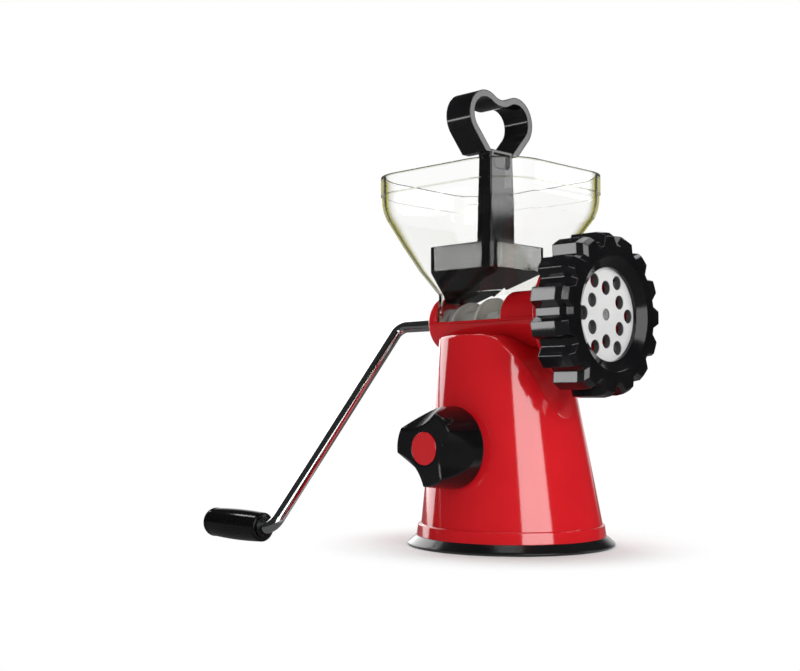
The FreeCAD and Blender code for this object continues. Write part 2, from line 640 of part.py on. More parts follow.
def barrel():
    """Red barrel: feed trough, funnel, flange and the head that holds the plate."""
    outside = round_x([
        (BARREL_REAR, 0),
        (BARREL_REAR, BARREL_RADIUS),
        (FLARE_START, BARREL_RADIUS),
        (FLANGE_REAR, FLARE_RADIUS),
        (FLANGE_REAR, FLANGE_RADIUS),
        (HEAD_REAR, FLANGE_RADIUS),
        (HEAD_REAR, HEAD_RADIUS),
        (HEAD_FRONT, HEAD_RADIUS),
        (HEAD_FRONT, 0),
    ])
    around = 2 * math.pi * BARREL_RADIUS
    rim = edges_near(outside, lambda at, edge: at.x < BARREL_REAR + SLIP_GAP and edge.Length > around / 2)
    outside = outside.makeFillet(BARREL_EDGE, rim)
    seat = PLATE_RADIUS + FREE_GAP
    inside = round_x([
        (REAR_WALL_FRONT, 0),
        (REAR_WALL_FRONT, BORE_RADIUS),
        (FUNNEL_START, BORE_RADIUS),
        (FUNNEL_END, HEAD_BORE_RADIUS),
        (PLATE_REAR, HEAD_BORE_RADIUS),
        (PLATE_REAR, seat),
        (HEAD_FRONT + 1, seat),
        (HEAD_FRONT + 1, 0),
    ])
    side = BARREL_RADIUS + RIB_HEIGHT
    rib_rear = BARREL_REAR + BARREL_EDGE
    rib = block((rib_rear, -side, AXIS_HEIGHT - RIB_THICKNESS), (FLANGE_REAR, side, AXIS_HEIGHT))
    stations = (PEG_REAR, PEG_FRONT)
    pegs = [rod_z(PEG_RADIUS, CAVITY_TOP + SLIP_GAP, AXIS_HEIGHT, x) for x in stations]
    pilot_top = CAVITY_TOP + SCREW_GRIP + FREE_GAP
    pilots = [rod_z(SCREW_RADIUS, CAVITY_TOP, pilot_top, x) for x in stations]
    feed = block((FEED_REAR, -side - 1, AXIS_HEIGHT), (FEED_FRONT, side + 1, AXIS_HEIGHT + 2 * BARREL_RADIUS))
    bush_bore = rod_x(BUSH_RADIUS, BARREL_REAR - 1, REAR_WALL_FRONT + 1)
    body = outside.fuse([rib] + pegs).cut([inside, feed, bush_bore] + pilots)
    key_low = AXIS_HEIGHT + seat - KEY_DEPTH
    key_high = AXIS_HEIGHT + HEAD_RADIUS - 1
    key = block((PLATE_REAR, -KEY_WIDTH / 2, key_low), (HEAD_FRONT, KEY_WIDTH / 2, key_high))
    return body.fuse(key).removeSplitter()


def rear_bush():
    """Flanged bearing of the auger's journal in the barrel's rear wall."""
    sleeve = rod_x(BUSH_RADIUS, BARREL_REAR - BUSH_FLANGE, REAR_WALL_FRONT)
    flange = rod_x(BUSH_RADIUS + BUSH_FLANGE_STEP, BARREL_REAR - BUSH_FLANGE, BARREL_REAR)
    bore = rod_x(JOURNAL_RADIUS + RUNNING_GAP, BARREL_REAR - BUSH_FLANGE - 1, REAR_WALL_FRONT + 1)
    return sleeve.fuse(flange).cut(bore).removeSplitter()


def auger_seal():
    """Thrust and sealing washer between the auger's shoulder and the rear wall."""
    front = REAR_WALL_FRONT + SEAL_THICKNESS
    ring = rod_x(AUGER_SHOULDER_RADIUS, REAR_WALL_FRONT, front)
    return ring.cut(rod_x(JOURNAL_RADIUS + FREE_GAP, REAR_WALL_FRONT - 1, front + 1))


def flight():
    """Left-handed ribbon of the auger, tapered at its inlet to leave room for the pusher's tip."""
    root = CORE_RADIUS - FLIGHT_SUNK
    length = AUGER_PITCH * AUGER_TURNS
    path = Part.Wire(Part.makeHelix(AUGER_PITCH, length, AUGER_RADIUS))
    corners = [
        Vector(root, 0, -FLIGHT_ROOT / 2),
        Vector(AUGER_RADIUS, 0, -FLIGHT_TIP / 2),
        Vector(AUGER_RADIUS, 0, FLIGHT_TIP / 2),
        Vector(root, 0, FLIGHT_ROOT / 2),
    ]
    ribbon = path.makePipeShell([Part.makePolygon(corners + corners[:1])], True, True)
    ribbon = ribbon.mirror(Vector(0, 0, 0), Y_WAY)
    ribbon.rotate(Vector(0, 0, 0), Y_WAY, 90)
    ribbon.translate(Vector(FLIGHT_REAR, 0, AXIS_HEIGHT))
    past = 2 * AUGER_TAPER
    inlet = round_x([
        (AUGER_SHOULDER_FRONT, 0),
        (AUGER_SHOULDER_FRONT, AUGER_SHOULDER_RADIUS),
        (AUGER_SHOULDER_FRONT + past, AUGER_SHOULDER_RADIUS + AUGER_TAPER_SLOPE * past),
        (HEAD_FRONT, AUGER_SHOULDER_RADIUS + AUGER_TAPER_SLOPE * past),
        (HEAD_FRONT, 0),
    ])
    return ribbon.common(inlet)


def square_x(side, start, end):
    """Square bar along the barrel's axis."""
    half = side / 2
    return block((start, -half, AXIS_HEIGHT - half), (end, half, AXIS_HEIGHT + half))


def auger():
    """Feed screw with its rear journal, crank socket, blade square and front pin."""
    hub_front = BLADE_REAR - SLIP_GAP
    core_front = FLIGHT_FRONT + FLIGHT_ROOT
    pin_front = PLATE_FRONT - PIN_SETBACK
    body = round_x([
        (JOURNAL_REAR, 0),
        (JOURNAL_REAR, JOURNAL_RADIUS),
        (AUGER_REAR, JOURNAL_RADIUS),
        (AUGER_REAR, AUGER_SHOULDER_RADIUS),
        (AUGER_SHOULDER_FRONT, AUGER_SHOULDER_RADIUS),
        (AUGER_SHOULDER_FRONT, CORE_RADIUS),
        (core_front, CORE_RADIUS),
        (hub_front, BLADE_HUB_RADIUS),
        (hub_front, PIN_RADIUS),
        (pin_front, PIN_RADIUS),
        (pin_front, PIN_DIMPLE),
        (pin_front - PIN_DIMPLE, 0),
    ])
    square = square_x(BLADE_SQUARE, hub_front - 1, PLATE_REAR - SLIP_GAP)
    socket = square_x(ROD_SQUARE + SLIP_GAP, JOURNAL_REAR - 1, JOURNAL_REAR + SOCKET_DEPTH)
    return body.fuse([flight(), square]).cut(socket).removeSplitter()


def blade():
    """Four-armed cutter with a sheared-back trailing side on each arm."""
    front = BLADE_REAR + BLADE_THICKNESS
    half = BLADE_ARM_WIDTH / 2
    centre = Vector(0, 0, AXIS_HEIGHT)
    section = [
        Vector(BLADE_REAR, BLADE_RELIEF - half, AXIS_HEIGHT),
        Vector(front, -half, AXIS_HEIGHT),
        Vector(front, half, AXIS_HEIGHT),
        Vector(BLADE_REAR, half, AXIS_HEIGHT),
    ]
    arm = Part.Face(Part.makePolygon(section + section[:1])).extrude(Vector(0, 0, 2 * BLADE_REACH))
    arms = spun(arm, BLADE_ARMS, centre, X_WAY, BLADE_TURN)
    star = rod_x(BLADE_HUB_RADIUS, BLADE_REAR, front).fuse(arms).common(rod_x(BLADE_REACH, BLADE_REAR, front))
    return star.cut(square_x(BLADE_SQUARE + SLIP_GAP, BLADE_REAR - 1, front + 1)).removeSplitter()


def hole_plate():
    """Steel disc with two rings of holes, a centre bore for the pin and a notch for the key."""
    disc = rod_x(PLATE_RADIUS, PLATE_REAR, PLATE_FRONT)
    centre = Vector(0, 0, AXIS_HEIGHT)
    half_step = 180.0 / HOLES_IN_RING
    holes = []
    for circle, start in ((INNER_HOLE_CIRCLE, half_step), (OUTER_HOLE_CIRCLE, 0.0)):
        hole = rod_x(HOLE_RADIUS, PLATE_REAR - 1, PLATE_FRONT + 1, z=AXIS_HEIGHT + circle)
        holes += spun(hole, HOLES_IN_RING, centre, X_WAY, start + 90)
    bore = rod_x(PIN_RADIUS + RUNNING_GAP, PLATE_REAR - 1, PLATE_FRONT + 1)
    half = KEY_WIDTH / 2 + FREE_GAP
    notch_low = AXIS_HEIGHT + PLATE_RADIUS - KEY_DEPTH
    notch = block((PLATE_REAR - 1, -half, notch_low), (PLATE_FRONT + 1, half, AXIS_HEIGHT + 2 * PLATE_RADIUS))
    return disc.cut(holes + [bore, notch])


def tooth_outline(station, drop):
    """Closed wire of the ring nut's teeth at a station along the barrel, drawn in by a drop."""
    tip_radius = NUT_TIP_RADIUS - drop
    valley_radius = tip_radius - NUT_TOOTH_DEPTH
    step = 2 * math.pi / NUT_TEETH
    tip_half = step * NUT_TIP_SHARE / 2
    valley_half = step * NUT_VALLEY_SHARE / 2

    def at(radius, angle):
        return Vector(station, radius * math.sin(angle), AXIS_HEIGHT + radius * math.cos(angle))

    edges = []
    for tooth in range(NUT_TEETH):
        top = math.radians(NUT_FIRST_TOOTH) + tooth * step
        gap = top + step / 2
        tip = [at(tip_radius, top + turn) for turn in (-tip_half, 0, tip_half)]
        valley = [at(valley_radius, gap + turn) for turn in (-valley_half, 0, valley_half)]
        edges.append(Part.Arc(*tip).toShape())
        edges.append(Part.makeLine(tip[2], valley[0]))
        edges.append(Part.Arc(*valley).toShape())
        edges.append(Part.makeLine(valley[2], at(tip_radius, top + step - tip_half)))
    return Part.Wire(edges)


def ring_nut():
    """Black clamping ring: blunt teeth whose front edge rounds over, and a mouth that flares to the front."""
    edge_rear = NUT_FRONT - NUT_EDGE_LENGTH
    teeth = Part.Face(tooth_outline(NUT_REAR, 0)).extrude(Vector(edge_rear - NUT_REAR, 0, 0))
    sections = []
    for along, drop in NUT_EDGE_STEPS:
        sections.append(tooth_outline(between(along, edge_rear, NUT_FRONT), NUT_EDGE_DROP * drop))
    front = Part.makeLoft(sections, True, True)
    seat = PLATE_FRONT + SLIP_GAP
    inside = rod_x(HEAD_RADIUS + FREE_GAP, NUT_REAR - 1, seat)
    mouth = round_x([
        (NUT_REAR, 0),
        (NUT_REAR, NUT_MOUTH_RADIUS),
        (seat + NUT_LAND, NUT_MOUTH_RADIUS),
        (NUT_FRONT, NUT_FLARE_RADIUS),
        (NUT_FRONT + 1, NUT_FLARE_RADIUS),
        (NUT_FRONT + 1, 0),
    ])
    return teeth.fuse(front).cut([inside, mouth]).removeSplitter()


def grip_axis():
    """Point where the crank's arm meets the grip's axis."""
    angle = math.radians(CRANK_ANGLE)
    drop = Vector(0, -math.sin(angle), -math.cos(angle)) * CRANK_LENGTH
    return Vector(CRANK_PLANE, 0, AXIS_HEIGHT) + drop


def rod_grip(radius, start, end):
    """Cylinder on the grip's axis, between two distances out from the crank's arm."""
    return Part.makeCylinder(radius, end - start, grip_axis() - X_WAY * start, -X_WAY)


def grip_stations():
    """Distances out from the arm: washer, grip, retainer, cap and outer end."""
    washer = ROD_BEND_RADIUS
    grip = washer + GRIP_WASHER_THICKNESS + SLIP_GAP
    end = grip + GRIP_LENGTH
    cap = end - GRIP_CAP_THICKNESS
    retainer = cap - RETAINER_THICKNESS - RETAINER_SETBACK
    return washer, grip, retainer, cap, end


def bend(corner, before, after):
    """Arc that rounds a corner of the rod's path, with the points where it meets the straights."""
    start = corner - before * ROD_BEND_RADIUS
    end = corner + after * ROD_BEND_RADIUS
    middle = start + after * ROD_BEND_RADIUS + (before - after) * (ROD_BEND_RADIUS / math.sqrt(2))
    return start, Part.Arc(start, middle, end).toShape(), end


def crank_rod():
    """Chromed rod: squared end, round arm bent to a Z, and the thinner spindle of the grip."""
    washer, grip, retainer, cap, end = grip_stations()
    out = -X_WAY
    top = Vector(CRANK_PLANE, 0, AXIS_HEIGHT)
    bottom = grip_axis()
    down = (bottom - top).normalize()
    root = Vector(JOURNAL_REAR, 0, AXIS_HEIGHT)
    upper_start, upper_arc, upper_end = bend(top, out, down)
    lower_start, lower_arc, lower_end = bend(bottom, down, out)
    path = Part.Wire([
        Part.makeLine(root, upper_start),
        upper_arc,
        Part.makeLine(upper_end, lower_start),
        lower_arc,
    ])
    section = Part.Wire(Part.makeCircle(ROD_RADIUS, root, out))
    arm = path.makePipeShell([section], True, False)
    squared = square_x(ROD_SQUARE, JOURNAL_REAR, JOURNAL_REAR + SOCKET_DEPTH - FREE_GAP)
    spindle = rod_grip(GRIP_SPINDLE_RADIUS, washer, retainer + RETAINER_THICKNESS + RETAINER_SETBACK / 2)
    return arm.fuse([squared, spindle]).removeSplitter()


def crank_collar():
    """Collar that stops the rod at the auger's journal."""
    front = JOURNAL_REAR - SLIP_GAP / 2
    rear = front - COLLAR_LENGTH
    return rod_x(COLLAR_RADIUS, rear, front).cut(rod_x(ROD_RADIUS, rear - 1, front + 1))


def crank_grip():
    """Revolving grip: gently crowned, with a rounded outer end and a pocket for the retainer and cap."""
    washer, start, retainer, cap, end = grip_stations()
    corners = [
        Vector(0, 0, 0),
        Vector(0, 0, GRIP_SHOULDER_RADIUS - GRIP_CHAMFER),
        Vector(GRIP_CHAMFER, 0, GRIP_SHOULDER_RADIUS),
        Vector(GRIP_LENGTH - GRIP_NOSE, 0, GRIP_SHOULDER_RADIUS),
        Vector(GRIP_LENGTH, 0, GRIP_END_RADIUS),
        Vector(GRIP_LENGTH, 0, 0),
    ]
    crown = Vector((GRIP_LENGTH - GRIP_NOSE) / 2, 0, GRIP_RADIUS)
    nose = (corners[3] + corners[4]) / 2 + Vector(GRIP_NOSE_BULGE, 0, GRIP_NOSE_BULGE)
    outline = [
        Part.makeLine(corners[0], corners[1]),
        Part.makeLine(corners[1], corners[2]),
        Part.Arc(corners[2], crown, corners[3]).toShape(),
        Part.Arc(corners[3], nose, corners[4]).toShape(),
        Part.makeLine(corners[4], corners[5]),
        Part.makeLine(corners[5], corners[0]),
    ]
    turned = Part.Face(Part.Wire(outline)).revolve(Vector(0, 0, 0), X_WAY, 360)
    turned.rotate(Vector(0, 0, 0), Z_WAY, 180)
    turned.translate(grip_axis() - X_WAY * start)
    bore = rod_grip(GRIP_SPINDLE_RADIUS + RUNNING_GAP, washer, end)
    pocket = rod_grip(GRIP_CAP_RADIUS, retainer - SLIP_GAP, end + 1)
    return turned.cut([bore, pocket])


def grip_washer():
    """Washer between the rod's bend and the grip."""
    washer = grip_stations()[0]
    disc = rod_grip(GRIP_WASHER_RADIUS, washer, washer + GRIP_WASHER_THICKNESS)
    return disc.cut(rod_grip(GRIP_SPINDLE_RADIUS, washer - 1, washer + GRIP_WASHER_THICKNESS + 1))


def grip_retainer():
    """Push-on ring that keeps the grip on its spindle."""
    start = grip_stations()[2]
    ring = rod_grip(RETAINER_RADIUS, start, start + RETAINER_THICKNESS)
    return ring.cut(rod_grip(GRIP_SPINDLE_RADIUS, start - 1, start + RETAINER_THICKNESS + 1))


def grip_cap():
    """Plug in the grip's outer end."""
    cap, end = grip_stations()[3:]
    plug = rod_grip(GRIP_CAP_RADIUS - RUNNING_GAP, cap, end)
    inner = grip_axis().x - cap
    rim = edges_near(plug, lambda at, edge: at.x < inner - 1 and not isinstance(edge.Curve, Part.Line))
    return plug.makeFillet(GRIP_CAP_ROUND, rim)


def neck_size():
    """Half length and middle station of the hopper's neck, which fills the barrel's feed opening."""
    return (FEED_FRONT - FEED_REAR) / 2 - SLIP_GAP, (FEED_FRONT + FEED_REAR) / 2


def flare_at(share):
    """Outer half sizes, corner and centre of the hopper at a share of its flare's height."""
    half, centre = neck_size()
    for (low, low_side), (high, high_side) in zip(FLARE_STEPS, FLARE_STEPS[1:]):
        if share >= low:
            side = between((share - low) / (high - low), low_side, high_side)
    return (
        between(share, half, HOPPER_BOWL_HALF_X),
        between(side, BARREL_RADIUS, HOPPER_BOWL_HALF_Y),
        between(share, HOPPER_NECK_CORNER, HOPPER_BOWL_CORNER),
        between(share, centre, HOPPER_CENTRE),
    )


def hopper_form(inset):
    """Outer or inner form of the hopper: straight neck, flared bowl and upright rim."""
    rim_bottom = HOPPER_TOP - HOPPER_BAND
    past = 1.0 if inset else 0.0
    lip = 0.0 if inset else HOPPER_LIP

    def section(height, half_x, half_y, corner, centre):
        return rounded_rectangle(half_x - inset, half_y - inset, corner - inset, height, centre)

    def upright(bottom, top, half_x, half_y, corner, centre):
        return Part.Face(section(bottom, half_x, half_y, corner, centre)).extrude(Vector(0, 0, top - bottom))

    flare = []
    for share, spread in FLARE_STEPS:
        flare.append(section(between(share, HOPPER_NECK_TOP, HOPPER_BOWL_HEIGHT), *flare_at(share)))
    shoulder = []
    for share, swell in RIM_STEPS:
        half_x = between(swell, HOPPER_BOWL_HALF_X, HOPPER_RIM_HALF_X)
        half_y = between(swell, HOPPER_BOWL_HALF_Y, HOPPER_RIM_HALF_Y)
        corner = between(swell, HOPPER_BOWL_CORNER, HOPPER_RIM_CORNER)
        height = between(share, HOPPER_BOWL_HEIGHT, rim_bottom)
        shoulder.append(section(height, half_x, half_y, corner, HOPPER_CENTRE))
    half, centre = neck_size()
    neck_bottom = AXIS_HEIGHT + SLIP_GAP - past
    neck = upright(neck_bottom, HOPPER_NECK_TOP, half, BARREL_RADIUS, HOPPER_NECK_CORNER, centre)
    rim_size = (HOPPER_RIM_HALF_X + lip, HOPPER_RIM_HALF_Y + lip, HOPPER_RIM_CORNER + lip)
    rim = upright(rim_bottom, HOPPER_TOP + past, *rim_size, HOPPER_CENTRE)
    return neck.fuse([Part.makeLoft(flare, True, True), Part.makeLoft(shoulder, True, False), rim])


def hopper():
    """Clear feed bowl whose neck saddles the barrel's trough."""
    shell = hopper_form(0).cut(hopper_form(HOPPER_WALL))
    return shell.cut(rod_x(BORE_RADIUS, BARREL_REAR, FLANGE_REAR)).removeSplitter()


def tangent_point(point, centre, radius, side):
    """Where a line from a point touches a circle in the Y-Z plane, on the side asked for."""
    away = centre - point
    reach = away.Length
    turn = side * math.asin(radius / reach)
    length = math.sqrt(reach ** 2 - radius ** 2)
    base = math.atan2(away.z, away.y) - turn
    return point + Vector(0, math.cos(base), math.sin(base)) * length


def loop_outline(inset, bottom):
    """Heart-shaped outline of the pusher's handle, narrowed by an inset, down to a foot of two points."""
    lobe = Vector(LOOP_FRONT, LOBE_OFFSET, LOBE_HEIGHT)
    span = LOBE_RADIUS + LOOP_DIP_RADIUS
    dip = Vector(LOOP_FRONT, 0, LOBE_HEIGHT + math.sqrt(span ** 2 - LOBE_OFFSET ** 2))
    radius = LOBE_RADIUS - inset
    foot = Vector(LOOP_FRONT, bottom[0], bottom[1])
    low = tangent_point(foot, lobe, radius, 1)
    high = lobe + (dip - lobe).normalize() * radius
    middle = lobe + Y_WAY * radius
    dip_low = dip - Z_WAY * (LOOP_DIP_RADIUS + inset)

    def mirrored(point):
        return Vector(point.x, -point.y, point.z)

    edges = [
        Part.makeLine(foot, low),
        Part.Arc(low, middle, high).toShape(),
        Part.Arc(high, dip_low, mirrored(high)).toShape(),
        Part.Arc(mirrored(high), mirrored(middle), mirrored(low)).toShape(),
        Part.makeLine(mirrored(low), mirrored(foot)),
        Part.makeLine(mirrored(foot), foot),
    ]
    return Part.Wire(edges)


def handle_loop():
    """Heart-shaped strap that the fingers go through."""
    outside = Part.Face(loop_outline(0, (LOOP_FOOT_HALF, LOOP_BOTTOM)))
    inside = Part.Face(loop_outline(LOOP_STRAP, (LOOP_FOOT_HALF - LOOP_HEEL, LOOP_BOTTOM)))
    return outside.cut(inside).extrude(Vector(-LOOP_DEPTH, 0, 0))


def pusher():
    """Food pusher: loop handle, tapered shaft, and a head that narrows to a wedge."""
    corner = SHAFT_FLARE / 2
    foot_size = (SHAFT_HALF_X + corner, SHAFT_HALF_Y + SHAFT_FLARE, corner)
    shaft_top = LOOP_BOTTOM + LOOP_FLOOR
    shaft = Part.makeLoft([
        rounded_rectangle(*foot_size, PUSHER_HEAD_TOP - 1, PUSHER_CENTRE),
        rounded_rectangle(SHAFT_HALF_X, SHAFT_HALF_Y, corner, shaft_top, PUSHER_CENTRE),
    ], True, True)
    head_half_y = flare_at(PUSHER_SEAT / HOPPER_FLARE)[1] - HOPPER_WALL - PUSHER_GAP
    head_size = (PUSHER_HEAD_HALF_X, head_half_y, PUSHER_HEAD_CORNER)
    band = Part.Face(rounded_rectangle(*head_size, PUSHER_HEAD_BOTTOM, PUSHER_HEAD_X))
    band = band.extrude(Vector(0, 0, PUSHER_HEAD_TOP - PUSHER_HEAD_BOTTOM))
    tip_rear = PUSHER_TIP_X - PUSHER_TIP_HALF_X
    rise = (HOPPER_NECK_TOP - PUSHER_TIP) / (PUSHER_HEAD_BOTTOM - PUSHER_TIP)
    waist_front = between(rise, PUSHER_TIP_X + PUSHER_TIP_HALF_X, PUSHER_HEAD_X + PUSHER_HEAD_HALF_X)
    waist_x = (waist_front + tip_rear) / 2
    waist_half_y = BARREL_RADIUS - HOPPER_WALL - PUSHER_GAP
    waist_size = (waist_front - waist_x, waist_half_y, HOPPER_NECK_CORNER - HOPPER_WALL)
    wedge = Part.makeLoft([
        rounded_rectangle(PUSHER_TIP_HALF_X, PUSHER_TIP_HALF_Y, PUSHER_TIP_CORNER, PUSHER_TIP, PUSHER_TIP_X),
        rounded_rectangle(*waist_size, HOPPER_NECK_TOP, waist_x),
        rounded_rectangle(*head_size, PUSHER_HEAD_BOTTOM, PUSHER_HEAD_X),
    ], True, True)
    recess_low = (LOOP_FRONT - THUMB_RECESS_DEPTH, -THUMB_RECESS_HALF, LOOP_BOTTOM - THUMB_RECESS_LENGTH)
    recess = block(recess_low, (LOOP_FRONT + LOOP_DEPTH, THUMB_RECESS_HALF, LOOP_BOTTOM))
    corners = edges_near(recess, lambda at, edge: abs(at.y) > SHAFT_FLARE and at.z < recess_low[2] + SLIP_GAP)
    lower = [edge for edge in corners if edge.Length > LOOP_DEPTH]
    recess = recess.makeFillet(THUMB_RECESS_CORNER, lower)
    return shaft.cut(recess).fuse([handle_loop(), band, wedge]).removeSplitter()


PIECES = (
    suction_cup, stand, base_plate, base_plate_screws, cup_stem, stem_spring,
    knob_spindle, lift_cam, spindle_bush, spindle_circlip, knob, knob_cap, knob_screw,
    barrel, barrel_screws, rear_bush, auger_seal, auger, blade, hole_plate, ring_nut,
    crank_rod, crank_collar, crank_grip, grip_washer, grip_retainer, grip_cap,
    hopper, pusher,
)


def main():
    os.makedirs("parts", exist_ok=True)
    for piece in PIECES:
        piece().exportStep(f"parts/{piece.__name__}.step")


if __name__ == "__main__":
    main()
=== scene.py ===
import math

import bpy
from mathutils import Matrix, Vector


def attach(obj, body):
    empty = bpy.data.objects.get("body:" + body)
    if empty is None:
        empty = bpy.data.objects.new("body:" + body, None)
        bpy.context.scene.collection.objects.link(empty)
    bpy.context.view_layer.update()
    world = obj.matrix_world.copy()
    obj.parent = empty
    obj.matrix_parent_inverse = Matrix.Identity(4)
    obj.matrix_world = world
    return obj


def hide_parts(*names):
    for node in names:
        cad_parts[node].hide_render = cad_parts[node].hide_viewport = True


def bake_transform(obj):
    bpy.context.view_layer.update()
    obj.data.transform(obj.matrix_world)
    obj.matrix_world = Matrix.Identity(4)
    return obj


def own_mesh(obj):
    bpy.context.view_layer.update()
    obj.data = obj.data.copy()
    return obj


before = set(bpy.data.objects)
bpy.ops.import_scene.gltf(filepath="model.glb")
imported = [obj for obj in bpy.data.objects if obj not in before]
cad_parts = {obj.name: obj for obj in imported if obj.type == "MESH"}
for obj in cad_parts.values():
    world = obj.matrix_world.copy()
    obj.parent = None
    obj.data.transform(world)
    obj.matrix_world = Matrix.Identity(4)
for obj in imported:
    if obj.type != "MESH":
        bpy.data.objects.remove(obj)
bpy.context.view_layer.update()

# Lengths are in metres, but for the camera's lens and sensor in millimetres. Angles are in degrees.
# +X is the way the meat leaves, -Y the knob's side, +Z up. An azimuth goes from -Y towards +X.
CAMERA_AZIMUTH = 39.6
CAMERA_DISTANCE = 0.760
CAMERA_HEIGHT = 0.0886
CAMERA_YAW = 5.24
CAMERA_PITCH = 3.17
CAMERA_LENS = 54.0
CAMERA_SENSOR = 36.0

# Finishes.
CLOUD_SCALE = 35.0
CLOUD_DETAIL = 3.0
GRAIN_DETAIL = 4.0
NOISE_RANGE = (0.3, 0.7)
BEVEL_SAMPLES = 6
BUMP_STRENGTH = 0.5
EVEN = (1, 1, 1)
BLACK = ((0.0025, 0.0025, 0.003), (0.005, 0.005, 0.0055))
BLACK_SPECULAR = 0.36

# Tints of the clear hopper: where its wall turns away, and thin lines at its rim and band's step.
# A ray has passed at most one surface when it meets the near wall, and two at the far wall.
EDGE_BLEND = 0.5
EDGE_TURN = (0.42, 0.78)
EDGE_TINT = (0.31, 0.28, 0.0)
RIM_REACH = 0.0010
RIM_TINT = (0.66, 0.66, 0.56)
HOPPER_BAND = 0.012
BAND_REACH = 0.0006
BAND_TINT = (0.74, 0.74, 0.66)
LINE_CORE = 0.7
NEAR_WALL = 1.0
FAR_WALL = 2.0

# Places along X between which the hole plate's inside and the auger's end go dark: painted shade in
# the plate's holes and on the auger's end behind the plate.
PLATE_INSIDE = (0.0732, 0.0727)
PLATE_PAINTED_SHADE = (0.12, 0.12, 0.12)
AUGER_END = (0.0660, 0.0665)
AUGER_PAINTED_SHADE = (0.20, 0.20, 0.20)

# Floor: the distances over which its shadow gives way to white, and the white's share and strength.
FLOOR_SIZE = 12.0
FLOOR_COLOUR = (0.88, 0.88, 0.88, 1)
SHADOW_REACH = (0.066, 0.13)
WHITE_SHARE = (0.05, 1.0)
WHITE_STRENGTH = 1.0
WHITE_MIRRORED = 0.15

# Strength of the surroundings between two places round the object: -1 is behind the camera and 1
# is behind the object.
AMBIENT_PLACES, AMBIENT = (-1.0, 1.0), (0.55, 0.22)
MIRRORED_PLACES, MIRRORED = (0.80, 0.99), (0.035, 1.0)
THROUGH_PLACES, THROUGH = (0.0, 0.70), (0.55, 1.0)
BACKDROP = 1.0

# Where a lamp points unless it says otherwise.
OBJECT_MIDDLE = (0, 0, 0.12)

# Places of the colour sockets of a Mix node.
MIX_SHARE, MIX_FIRST, MIX_SECOND, MIX_RESULT = 0, 6, 7, 2


def add(tree, kind, settings=None, **inputs):
    """New shader node, with its settings and its input values or links."""
    node = tree.nodes.new("ShaderNode" + kind)
    for key, value in (settings or {}).items():
        setattr(node, key, value)
    for key, value in inputs.items():
        socket = node.inputs[key.replace("_", " ")]
        if isinstance(value, bpy.types.NodeSocket):
            tree.links.new(value, socket)
        else:
            socket.default_value = value
    return node


def link(tree, source, node, place):
    """Joins a socket to a node's input by its place in the list."""
    tree.links.new(source, node.inputs[place])


def combined(tree, operation, first, second):
    """Two values joined by an arithmetic operation."""
    node = add(tree, "Math", {"operation": operation})
    link(tree, first, node, 0)
    link(tree, second, node, 1)
    return node.outputs[0]


def ranged(tree, value, places, results=(0.0, 1.0), kind="LINEAR"):
    """Value that goes from one result to another between two places, and is held outside them."""
    node = add(
        tree, "MapRange", {"interpolation_type": kind}, Value=value,
        From_Min=places[0], From_Max=places[1], To_Min=results[0], To_Max=results[1],
    )
    return node.outputs["Result"]


def chosen(tree, share, first, second):
    """The first value, or the second where the share is one."""
    return ranged(tree, share, (0.0, 1.0), (first, second))


def own_place(tree):
    """Place in the piece's own frame."""
    return add(tree, "TexCoord").outputs["Object"]


def place_along(tree, axis):
    """Place along one axis of the piece's own frame."""
    return add(tree, "SeparateXYZ", Vector=own_place(tree)).outputs[axis]


def ramp(tree, factor, low, high):
    """Colour between two by a factor, over the middle of a noise's range."""
    node = add(tree, "ValToRGB", Fac=factor)
    for element, position, colour in zip(node.color_ramp.elements, NOISE_RANGE, (low, high)):
        element.position = position
        element.color = (*colour, 1)
    return node.outputs["Color"]


def noise(tree, scale, detail, stretch=EVEN):
    """Noise in the piece's own frame: scale in cycles per metre, and an optional stretch."""
    place = own_place(tree)
    if stretch != EVEN:
        place = add(tree, "Mapping", Vector=place, Scale=stretch).outputs["Vector"]
    return add(tree, "TexNoise", Vector=place, Scale=scale, Detail=detail).outputs["Fac"]


def surface(name, colours, roughness, grain, bump, edge=0.0005, stretch=EVEN, **fixed):
    """Principled material: two close colours, a range of roughness, grain and softened edges."""
    material = bpy.data.materials.new(name)
    material.use_nodes = True
    tree = material.node_tree
    shader = tree.nodes["Principled BSDF"]
    for key, value in fixed.items():
        shader.inputs[key.replace("_", " ")].default_value = value
    cloud = noise(tree, CLOUD_SCALE, CLOUD_DETAIL)
    fine = noise(tree, grain, GRAIN_DETAIL, stretch)
    tree.links.new(ramp(tree, cloud, *colours), shader.inputs["Base Color"])
    tree.links.new(ranged(tree, fine, NOISE_RANGE, roughness), shader.inputs["Roughness"])
    rounded = add(tree, "Bevel", {"samples": BEVEL_SAMPLES}, Radius=edge).outputs["Normal"]
    relief = add(
        tree, "Bump", Height=fine, Distance=bump, Strength=BUMP_STRENGTH, Normal=rounded,
    )
    tree.links.new(relief.outputs["Normal"], shader.inputs["Normal"])
    return material


